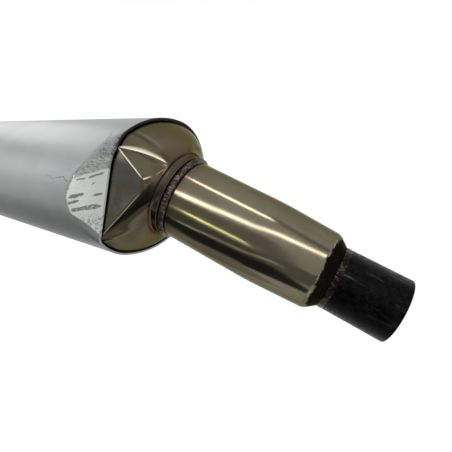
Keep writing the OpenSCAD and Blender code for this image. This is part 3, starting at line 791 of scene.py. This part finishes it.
def polished(name, drawn_out, turn=(0, 0, 0), sooty=False):
    """Polished tube with a straw tint; drawn_out stretches its fine lines along the piece."""
    material, shader, at = new_finish(name)
    own = placed(at, turn=turn)
    polish = use(lines, Vector=placed(own, scale=drawn_out), Fineness=380.0)
    cloud = grain(at, 30.0, 3.0)
    grit = use(specks, Vector=at, Scale=150.0, Size=0.06, Share=0.04)["Mask"]
    base = coated(metal(120, 113, 93), (fade(cloud, 0.3, 0.7), metal(131, 124, 105)),
                  (fade(polish["Bands"], 0.35, 0.70, 0.0, 0.5), metal(104, 98, 78)),
                  (fade(polish["Lines"], 0.55, 0.75, 0.0, 0.35), metal(88, 84, 68)),
                  (times(grit, 0.9), metal(24, 22, 18)))
    rough = plus(0.10, times(polish["Lines"], 0.10))
    if sooty:
        base, rough = sooted(at, own, base, rough)
    set_inputs(shader, Base_Color=base, Roughness=rough, Metallic=1.0,
               Specular_Tint=(0.55, 0.53, 0.45, 1))
    raised(shader, polish["Lines"], 0.12, 0.00004)
    return material


sleeve.data.materials.append(polished("polished_sleeve", (1, 1, 0.02), PIPE_BACK, sooty=True))
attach(sleeve, "root")
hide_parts("inlet_sleeve")

# Inlet pipe
# The inner pipe of the double wall. Its bare end is the stub that slides into the link pipe's
# joint: black with soot and scale, with grey scuffs from years of being pulled off and on.

PIPE_R, PIPE_BORE, STUB_WELD, STUB_EDGE = 0.0254, 0.0239, 0.005, 0.0004
ELBOW_RUN = 0.070 * math.tan(LEAN / 2)
STUB_END = FOOT_Z + STUB_WELD
stub_line = [(PIPE_BORE, -STUB_EDGE), (PIPE_BORE + STUB_EDGE, 0), (PIPE_R - STUB_EDGE, 0),
             (PIPE_R, -STUB_EDGE)]
stub_line += [(PIPE_R, z * STUB_END) for z in (0.25, 0.5, 0.75, 1)]
stub_line += [(RUN_R, STUB_END), (RUN_R, ELBOW_RUN - REACH), (PIPE_BORE, ELBOW_RUN - REACH)]
stub_line += [(PIPE_BORE, -0.15), (PIPE_BORE, -0.08), (PIPE_BORE, -0.03)]
inlet_pipe = spun("inlet_pipe", stub_line, steps=192)

sooty, shader, at = new_finish("sooty_steel")
own = placed(at, turn=PIPE_BACK)
drag = grain(placed(own, scale=(1, 1, 0.12)), 190.0, 5.0, 0.7, 0.5)
crust = grain(at, 240.0, 5.0, 0.7)
base = coated(metal(11, 11, 12), (fade(crust, 0.35, 0.65), metal(25, 24, 24)),
              (fade(drag, 0.56, 0.74, 0.0, 0.6), metal(82, 80, 76)))
set_inputs(shader, Base_Color=base, Metallic=1.0, Roughness=fade(crust, 0.3, 0.7, 0.36, 0.58))
raised(shader, plus(crust, drag), 0.35, 0.00025)
inlet_pipe.data.materials.append(sooty)
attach(inlet_pipe, "root")
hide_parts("inlet_pipe")

# Welds
# Three beads of weld metal, laid by hand in short overlapping steps: cap collar to sleeve,
# sleeve to stub, and outlet cap to tail pipe. The ripples are the steps; scale has browned them.

# how far a bead's edges are sunk, and its ripples' height as a share of its own, up to a most
SUNK, RIPPLE_SHARE, RIPPLE_MOST = 0.0002, 0.32, 0.0007
NECK_WELD = 0.0064


def bead_line(r, low, high, height, points=14):
    """A bead's outline: a flattened half round from low to high along the pipe."""
    middle, half = (low + high) / 2, (high - low) / 2
    return [(r + height * math.sin(math.pi * k / points) - (SUNK if k in (0, points) else 0),
             middle - half * math.cos(math.pi * k / points)) for k in range(points + 1)]


def ripple(bead, matrix, middle, half, ripples, height, sway):
    """Turns a smooth bead into a laid one: crescent steps, and a line that wanders a little."""
    back = matrix.inverted()
    centre = random.Random(7).random() * 9
    for v in bead.data.vertices:
        p = back @ v.co
        turn, far = math.atan2(p.y, p.x), math.hypot(p.x, p.y)
        share = (p.z - middle) / half
        loop = Vector((math.cos(turn), math.sin(turn), centre))
        step = ripples * turn / math.tau + 0.5 * share * share + 0.8 * noise.noise(loop * 4)
        saw = step % 1.0
        crown = max(1 - share * share, 0)
        rise = height * crown * (saw**0.7 - 0.45) + height * 0.9 * crown * noise.noise(loop * 2.5)
        rise += height * 0.5 * crown * noise.noise(p * 900)
        far += rise
        side = sway * noise.noise(loop * 1.3)
        v.co = matrix @ Vector((far * math.cos(turn), far * math.sin(turn), p.z + side))


def bead_metal(name, dark_tone, light_tone):
    """Weld metal: scaly, browned by heat, shinier on its crowns."""
    material, shader, at = new_finish(name)
    scaly = grain(at, 330.0, 5.0, 0.7)
    bloom = fade(grain(at, 70.0, 3.0), 0.45, 0.70, 0.0, 0.5)
    base = coated(dark_tone, (fade(scaly, 0.42, 0.68), light_tone), (bloom, metal(66, 54, 48)))
    set_inputs(shader, Base_Color=base, Metallic=0.95, Roughness=fade(scaly, 0.35, 0.65, 0.36, 0.20))
    raised(shader, scaly, 0.6, 0.0005)
    return material


weld_finish = bead_metal("weld_metal", metal(46, 39, 36), metal(118, 109, 100))
sooty_weld_finish = bead_metal("weld_metal_sooty", metal(14, 13, 12), metal(74, 66, 56))


def weld(name, node, matrix, r, low, high, height, ripples, sway, finish):
    bead = spun(name, bead_line(r, low, high, height), steps=720, matrix=matrix, smooth_angle=80)
    ripple(bead, matrix, (low + high) / 2, (high - low) / 2, ripples,
           min(height * RIPPLE_SHARE, RIPPLE_MOST), sway)
    bead.data.materials.append(finish)
    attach(bead, "root")
    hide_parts(node)
    return bead


weld_low = NECK_H - NECK_AT
neck_weld = weld("neck_weld", "inlet_neck_weld", PIPE_TURN, SLEEVE_R, weld_low, weld_low + NECK_WELD,
                 0.0023, 84, 0.0010, weld_finish)
stub_weld = weld("stub_weld", "inlet_stub_weld", PIPE_TURN, FOOT_R, FOOT_Z, STUB_END,
                 0.0004, 70, 0.0006, sooty_weld_finish)

# Outlet cap and tail pipe
# The photo doesn't show this end. It has a plain pressed cap of the same stainless sheet, with a
# rounded edge, and an off-centre tail pipe that is welded into its collar.

TAIL_R, TAIL_WALL, DOME_H, TAIL_OUT = 0.0175, 0.0015, 0.016, 0.042
TAIL_Y, TAIL_WELD = -0.0468, 0.004
OUTLET_TURN = Matrix.Translation((INLET_X - SHELL_LEN, TAIL_Y, AXIS_Z)) \
    @ Matrix.Rotation(-math.pi / 2, 4, "Y")
OUTLET_FOOT = Vector((TAIL_Y, 0, DOME_H))
TAIL_NECK_R = TAIL_R + COLLAR_GAP + NECK_WALL


def at_outlet(p):
    """From the canister's own axes at its outlet end to the part's."""
    return Vector((INLET_X - SHELL_LEN - p.z, p.x, AXIS_Z - p.y))


def outlet_ring(rise):
    """A ring of the outlet's dome, from its rim (rise 0) to the collar's foot (rise 1)."""
    def point(turn):
        far = oval_at(turn, SKIRT_IN)
        rim = Vector((far * math.cos(turn), far * math.sin(turn), -RECESS))
        way = neck_point(OUTLET_FOOT, 0, turn, TAIL_NECK_R + FILLET, 0) - rim
        mid = rim + Vector((way.x * 0.12, way.y * 0.12, way.z * 0.9))
        return at_outlet((1 - rise) ** 2 * rim + 2 * rise * (1 - rise) * mid + rise**2 * (rim + way))
    return point


def to_outlet(ring):
    """The collar's rings are given in the inlet's axes; this turns them round to the outlet."""
    def point(turn):
        p = ring(turn)
        return at_outlet(Vector((p.y, p.z - AXIS_Z, p.x - INLET_X)))
    return point


outlet_rings = [oval_ring(SKIRT_IN, w - SHELL_LEN) for w in (SKIRT, 0.008, 0.003)]
outlet_rings = [(lambda turn, ring=ring: ring(-turn)) for ring in outlet_rings]
outlet_rings += [outlet_ring((k / 36) ** 1.4) for k in range(37)]
outlet_collar = collar_rings(OUTLET_FOOT, 0, TAIL_NECK_R, TAIL_NECK_R - NECK_WALL)
outlet_rings += [to_outlet(ring) for ring in outlet_collar]
outlet_cap = drawn("outlet_cap", 240, outlet_rings, closed=False)
thick = outlet_cap.modifiers.new("sheet", "SOLIDIFY")
thick.thickness, thick.offset = CAP_WALL, -1
outlet_cap.data.materials.append(plain_cap_finish)
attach(outlet_cap, "root")
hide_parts("outlet_end_cap")

TAIL_EDGE, TAIL_IN = 0.0004, 0.012
tail_bore, tail_start, tail_end = TAIL_R - TAIL_WALL, DOME_H - TAIL_IN, DOME_H + TAIL_OUT
tail_line = [(TAIL_R - TAIL_EDGE, tail_end), (TAIL_R, tail_end - TAIL_EDGE), (TAIL_R, tail_start),
             (tail_bore, tail_start), (tail_bore, tail_end - TAIL_EDGE), (tail_bore + TAIL_EDGE, tail_end)]
tail_pipe = spun("tail_pipe", tail_line, steps=128, matrix=OUTLET_TURN)
tail_pipe.data.materials.append(polished("polished_tail", (0.02, 1, 1)))
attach(tail_pipe, "root")
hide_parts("tail_pipe")
tail_low = DOME_H + NECK_H
weld("tail_weld", "tail_pipe_weld", OUTLET_TURN, TAIL_R, tail_low, tail_low + TAIL_WELD,
     0.0018, 56, 0.0004, weld_finish)

# Hanger
# On the side that faces the machine: a steel foot with a lug, held by four rivets through the
# shell, and a rubber with a steel collar in the lug's eye for the bolt. Edges are broken.


def dressed(node, name, bevel, finish):
    """A copy of a CAD node's own shape, with its doubles merged and its edges broken."""
    bm = bmesh.new()
    bm.from_mesh(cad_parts[node].data)
    bmesh.ops.remove_doubles(bm, verts=bm.verts, dist=0.00001)
    bmesh.ops.dissolve_limit(bm, angle_limit=math.radians(1), verts=bm.verts, edges=bm.edges)
    piece = piece_of(name, bm, 35)
    rounded = piece.modifiers.new("edges", "BEVEL")
    rounded.width, rounded.segments, rounded.limit_method = bevel, 2, "ANGLE"
    rounded.angle_limit = math.radians(40)
    piece.data.materials.append(finish)
    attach(piece, "root")
    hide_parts(node)


bracket_steel, shader, at = new_finish("bracket_steel")
cloud = grain(at, 60.0, 4.0)
scour = use(lines, Vector=placed(at, (0.1, 1, 1)), Fineness=500.0)["Lines"]
base = coated(metal(132, 130, 124), (fade(cloud, 0.3, 0.7), metal(152, 150, 144)))
set_inputs(shader, Base_Color=base, Metallic=1.0, Roughness=plus(0.30, times(scour, 0.12)))
raised(shader, scour, 0.2, 0.00006)

rubber, shader, at = new_finish("grommet_rubber")
chalky = fade(grain(at, 200.0, 4.0), 0.45, 0.75)
set_inputs(shader, Roughness=0.65, Base_Color=coated(colour(20, 20, 21), (chalky, colour(44, 43, 42))))
raised(shader, grain(at, 900.0, 3.0), 0.3, 0.0001)

dressed("hanger_bracket", "hanger_bracket_steel", 0.0004, bracket_steel)
dressed("hanger_rivets", "hanger_rivet_heads", 0.0003, bracket_steel)
dressed("hanger_collar", "hanger_bolt_collar", 0.0003, bracket_steel)
dressed("hanger_grommet", "hanger_rubber", 0.0006, rubber)

# Inside
# What the shell and caps hide keeps its CAD shape: tubes, baffles, can and elbow of plain steel
# sheet with exhaust deposits, a mat of glass wool, and a ring of knitted wire in the sleeve.

inner_steel, shader, at = new_finish("inner_steel")
deposit = grain(at, 45.0, 5.0, 0.6)
base = coated(metal(96, 90, 80), (fade(deposit, 0.35, 0.65), metal(48, 42, 38)))
set_inputs(shader, Base_Color=base, Metallic=0.8, Roughness=fade(deposit, 0.3, 0.7, 0.35, 0.65))

wool, shader, at = new_finish("glass_wool")
fibre = grain(placed(at, (0.2, 1, 1)), 900.0, 5.0, 0.8, 1.0)
set_inputs(shader, Roughness=0.95,
           Base_Color=coated(colour(196, 180, 128), (fibre, colour(226, 214, 176))))
raised(shader, fibre, 0.9, 0.0006)

knit, shader, at = new_finish("wire_mesh")
loops = node_of(tree_of(at), "TexVoronoi", Vector=at, Scale=700.0).outputs["Distance"]
base = coated(metal(120, 116, 106), (fade(loops, 0.2, 0.6), metal(30, 28, 26)))
set_inputs(shader, Base_Color=base, Metallic=0.9)
raised(shader, loops, 0.9, 0.0005)

INNER_STEEL = ("inner_can", "front_baffle", "rear_baffle", "core_tube", "return_tube",
               "crossover_tube", "outlet_tube", "hanger_backing_plate")
hidden = dict.fromkeys(INNER_STEEL, inner_steel)
hidden.update(inlet_elbow=sooty, glass_wool_mat=wool, sleeve_spacer_ring=knit)
for node, finish in hidden.items():
    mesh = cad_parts[node].data
    if mesh.materials:
        for k in range(len(mesh.materials)):
            mesh.materials[k] = finish
    else:
        mesh.materials.append(finish)

# Studio
# A white floor and a white room that lights a little less than it shows, strip lamps for the
# streaks in the metal, grey cards for its darker bands, and a camera where the photograph's was.


def by_share(share, low, high, end):
    """Shows one shader or another, by a share, at the end of a node tree."""
    tree = tree_of(share)
    mixed = tree.nodes.new("ShaderNodeMixShader")
    for value, socket in zip((share, low.outputs[0], high.outputs[0]), mixed.inputs):
        feed(value, socket)
    tree.links.new(mixed.outputs[0], tree.nodes[end].inputs["Surface"])


def direct(tree):
    """1 for rays of the camera and for those that metal or glass sends on, else 0."""
    seen = tree.nodes.new("ShaderNodeLightPath").outputs
    return larger(seen["Is Camera Ray"], seen["Is Glossy Ray"], seen["Is Transmission Ray"])


world = bpy.data.worlds.new("room")
bpy.context.scene.world = world
world.use_nodes = True
tree = world.node_tree
white = node_of(tree, "Background", Color=(1, 1, 1, 1), Strength=1.0)
soft = node_of(tree, "Background", Color=(1, 1, 1, 1), Strength=ROOM_WHITE)
by_share(direct(tree), soft, white, "World Output")

# the floor's height and half width, and how much of it is its own glow
FLOOR_Z, FLOOR_HALF, FLOOR_GLOW = -0.30, 12, 0.78
bm = bmesh.new()
bmesh.ops.create_grid(bm, x_segments=1, y_segments=1, size=FLOOR_HALF)
bmesh.ops.translate(bm, vec=(0, 0, FLOOR_Z), verts=bm.verts)
floor = piece_of("floor", bm)
floor_finish, paper, _ = new_finish("floor_white")
tree = paper.id_data
set_inputs(paper, Base_Color=(0.92, 0.92, 0.92, 1), Roughness=0.9, Specular_IOR_Level=0.0)
glow = node_of(tree, "Emission", Color=(1, 1, 1, 1), Strength=1.07)
by_share(times(direct(tree), FLOOR_GLOW), paper, glow, "Material Output")
floor.data.materials.append(floor_finish)


def place_at(direction, distance, target):
    """A place in a direction from a target, by azimuth and elevation in degrees."""
    az, el = map(math.radians, direction)
    way = Vector((math.cos(az) * math.cos(el), math.sin(az) * math.cos(el), math.sin(el)))
    return target + way * distance


def spanned(start, end, distance, target):
    """The length from one direction to another as the metal sees them, and the turn to face it."""
    a, b = place_at(start, distance, target), place_at(end, distance, target)
    middle = (a + b) / 2
    z = (middle - target).normalized()
    x = ((b - a) - (b - a).dot(z) * z).normalized()
    turn = Matrix((x, z.cross(x), z)).transposed().to_4x4()
    return (b - a).length, Matrix.Translation(middle) @ turn


def only_for(name, pieces):
    """A set of pieces that a lamp is kept to."""
    kept_to = bpy.data.collections.new(name)
    for piece in pieces:
        kept_to.objects.link(piece)
    return kept_to


pipe_set = only_for("pipe_set", [sleeve, inlet_pipe, neck_weld, stub_weld])
sleeve_set = only_for("sleeve_set", [sleeve])
cap_set = only_for("cap_set", [inlet_cap])

# what the lamps and cards aim at: the inlet end's middle, the canister behind it, the sleeve's side
INLET_MIDDLE = Vector((-0.11, 0, 0.05))
CANISTER = Vector((-0.3, 0, 0.14))
SLEEVE_SIDE = Vector((-0.135, -0.03, 0.063))


def strip(name, start, end, width, power, distance=1.5, target=INLET_MIDDLE, lit=None):
    """A strip lamp that spans from one direction to another, for all or for some pieces."""
    length, matrix = spanned(start, end, distance, target)
    lamp = bpy.data.lights.new(name, "AREA")
    lamp.shape, lamp.size, lamp.size_y, lamp.energy = "RECTANGLE", length, width, power
    lamp_object = bpy.data.objects.new(name, lamp)
    lamp_object.matrix_world = matrix
    lamp_object.visible_camera = False
    if lit:
        lamp_object.light_linking.receiver_collection = lit
    bpy.context.scene.collection.objects.link(lamp_object)
    return lamp


strip("streak_high", (99, 71), (54, 61), 0.095, 2.05, lit=pipe_set)
strip("streak_front", (-106, 59), (14, 50), 0.13, 4.87, lit=pipe_set)
strip("streak_front_wide", (-106, 60), (-84, 66), 0.24, 0.58, lit=pipe_set)
strip("collar_glint", (-22, 62), (14, 58), 0.16, 1.28, lit=cap_set)
tube = strip("tube_low", (-106, 31), (-84, 30), 0.015, 0.1, 0.45, SLEEVE_SIDE, sleeve_set)
tube.color = (0.90, 1.0, 0.50)
strip("sky_band", (148, 16), (168, 20), 0.55, 5.77, 3.0, CANISTER)
strip("sky_band_left", (-177, 27), (-162, 26), 0.35, 2.82, 3.0, CANISTER)


def card(name, start, end, width, tone, distance=1.8):
    """A card that only the metal sees, to darken or lighten one side of its reflections."""
    length, matrix = spanned(start, end, distance, INLET_MIDDLE)
    bm = bmesh.new()
    bmesh.ops.create_grid(bm, x_segments=1, y_segments=1, size=0.5)
    bmesh.ops.scale(bm, vec=(length, width, 1), verts=bm.verts)
    bm.transform(matrix)
    flag = piece_of(name, bm)
    flag.visible_camera = flag.visible_diffuse = flag.visible_shadow = False
    grey = bpy.data.materials.new(name)
    grey.use_nodes = True
    nodes = grey.node_tree
    lit = node_of(nodes, "Emission", Color=(tone, tone, tone, 1), Strength=1.0)
    nodes.links.new(lit.outputs[0], nodes.nodes["Material Output"].inputs["Surface"])
    flag.data.materials.append(grey)


card("card_front", (-140, 38), (-60, 40), 1.00, 0.49)
card("card_under", (-132, 11), (-86, 11), 0.68, 0.22, 1.7)
card("card_low", (-132, -12), (-82, -10), 0.36, 0.05, 0.80)
card("card_side", (-88, 12), (-45, 10), 0.80, 0.38, 1.6)
card("card_line", (-118, 1), (-78, 15), 0.014, 3.59, 0.75)
card("card_left", (-168, -10), (-132, -10), 0.43, 0.38, 0.70)
card("card_floor", (-158, -37), (-108, -35), 0.26, 0.59, 0.50)
card("card_ground", (-98, -50), (-15, -38), 0.30, 0.79, 0.38)
card("card_right", (5, -12), (65, -12), 0.60, 0.13, 1.5)
card("card_beyond", (62, 60), (30, 46), 0.34, 0.49, 1.7)

KEY_AT, KEY_AIM = Vector((-0.6, -1.2, 2.6)), Vector((-0.4, -1.2, 2.5))
key = bpy.data.lights.new("key", "AREA")
key.size, key.energy = 2.5, 30
key_object = bpy.data.objects.new("key", key)
key_object.matrix_world = Matrix.Translation(KEY_AT) @ KEY_AIM.to_track_quat("Z", "Y").to_matrix().to_4x4()
key_object.visible_camera = key_object.visible_glossy = False
bpy.context.scene.collection.objects.link(key_object)

bpy.context.scene.view_settings.view_transform = "Standard"
camera = bpy.data.cameras.new("camera")
camera.lens, camera.sensor_width = 27.685, 36
camera.clip_start, camera.clip_end = 0.01, 60
view = bpy.data.objects.new("camera", camera)
right = Vector((0.80377926, 0.52245642, -0.28456668))
up = Vector((-0.16263668, 0.65306577, 0.73963127))
view.matrix_world = Matrix.Translation((0.0353243, -0.1656171, 0.2390379)) \
    @ Matrix((right, up, right.cross(up))).transposed().to_4x4()
bpy.context.scene.collection.objects.link(view)
bpy.context.scene.camera = view
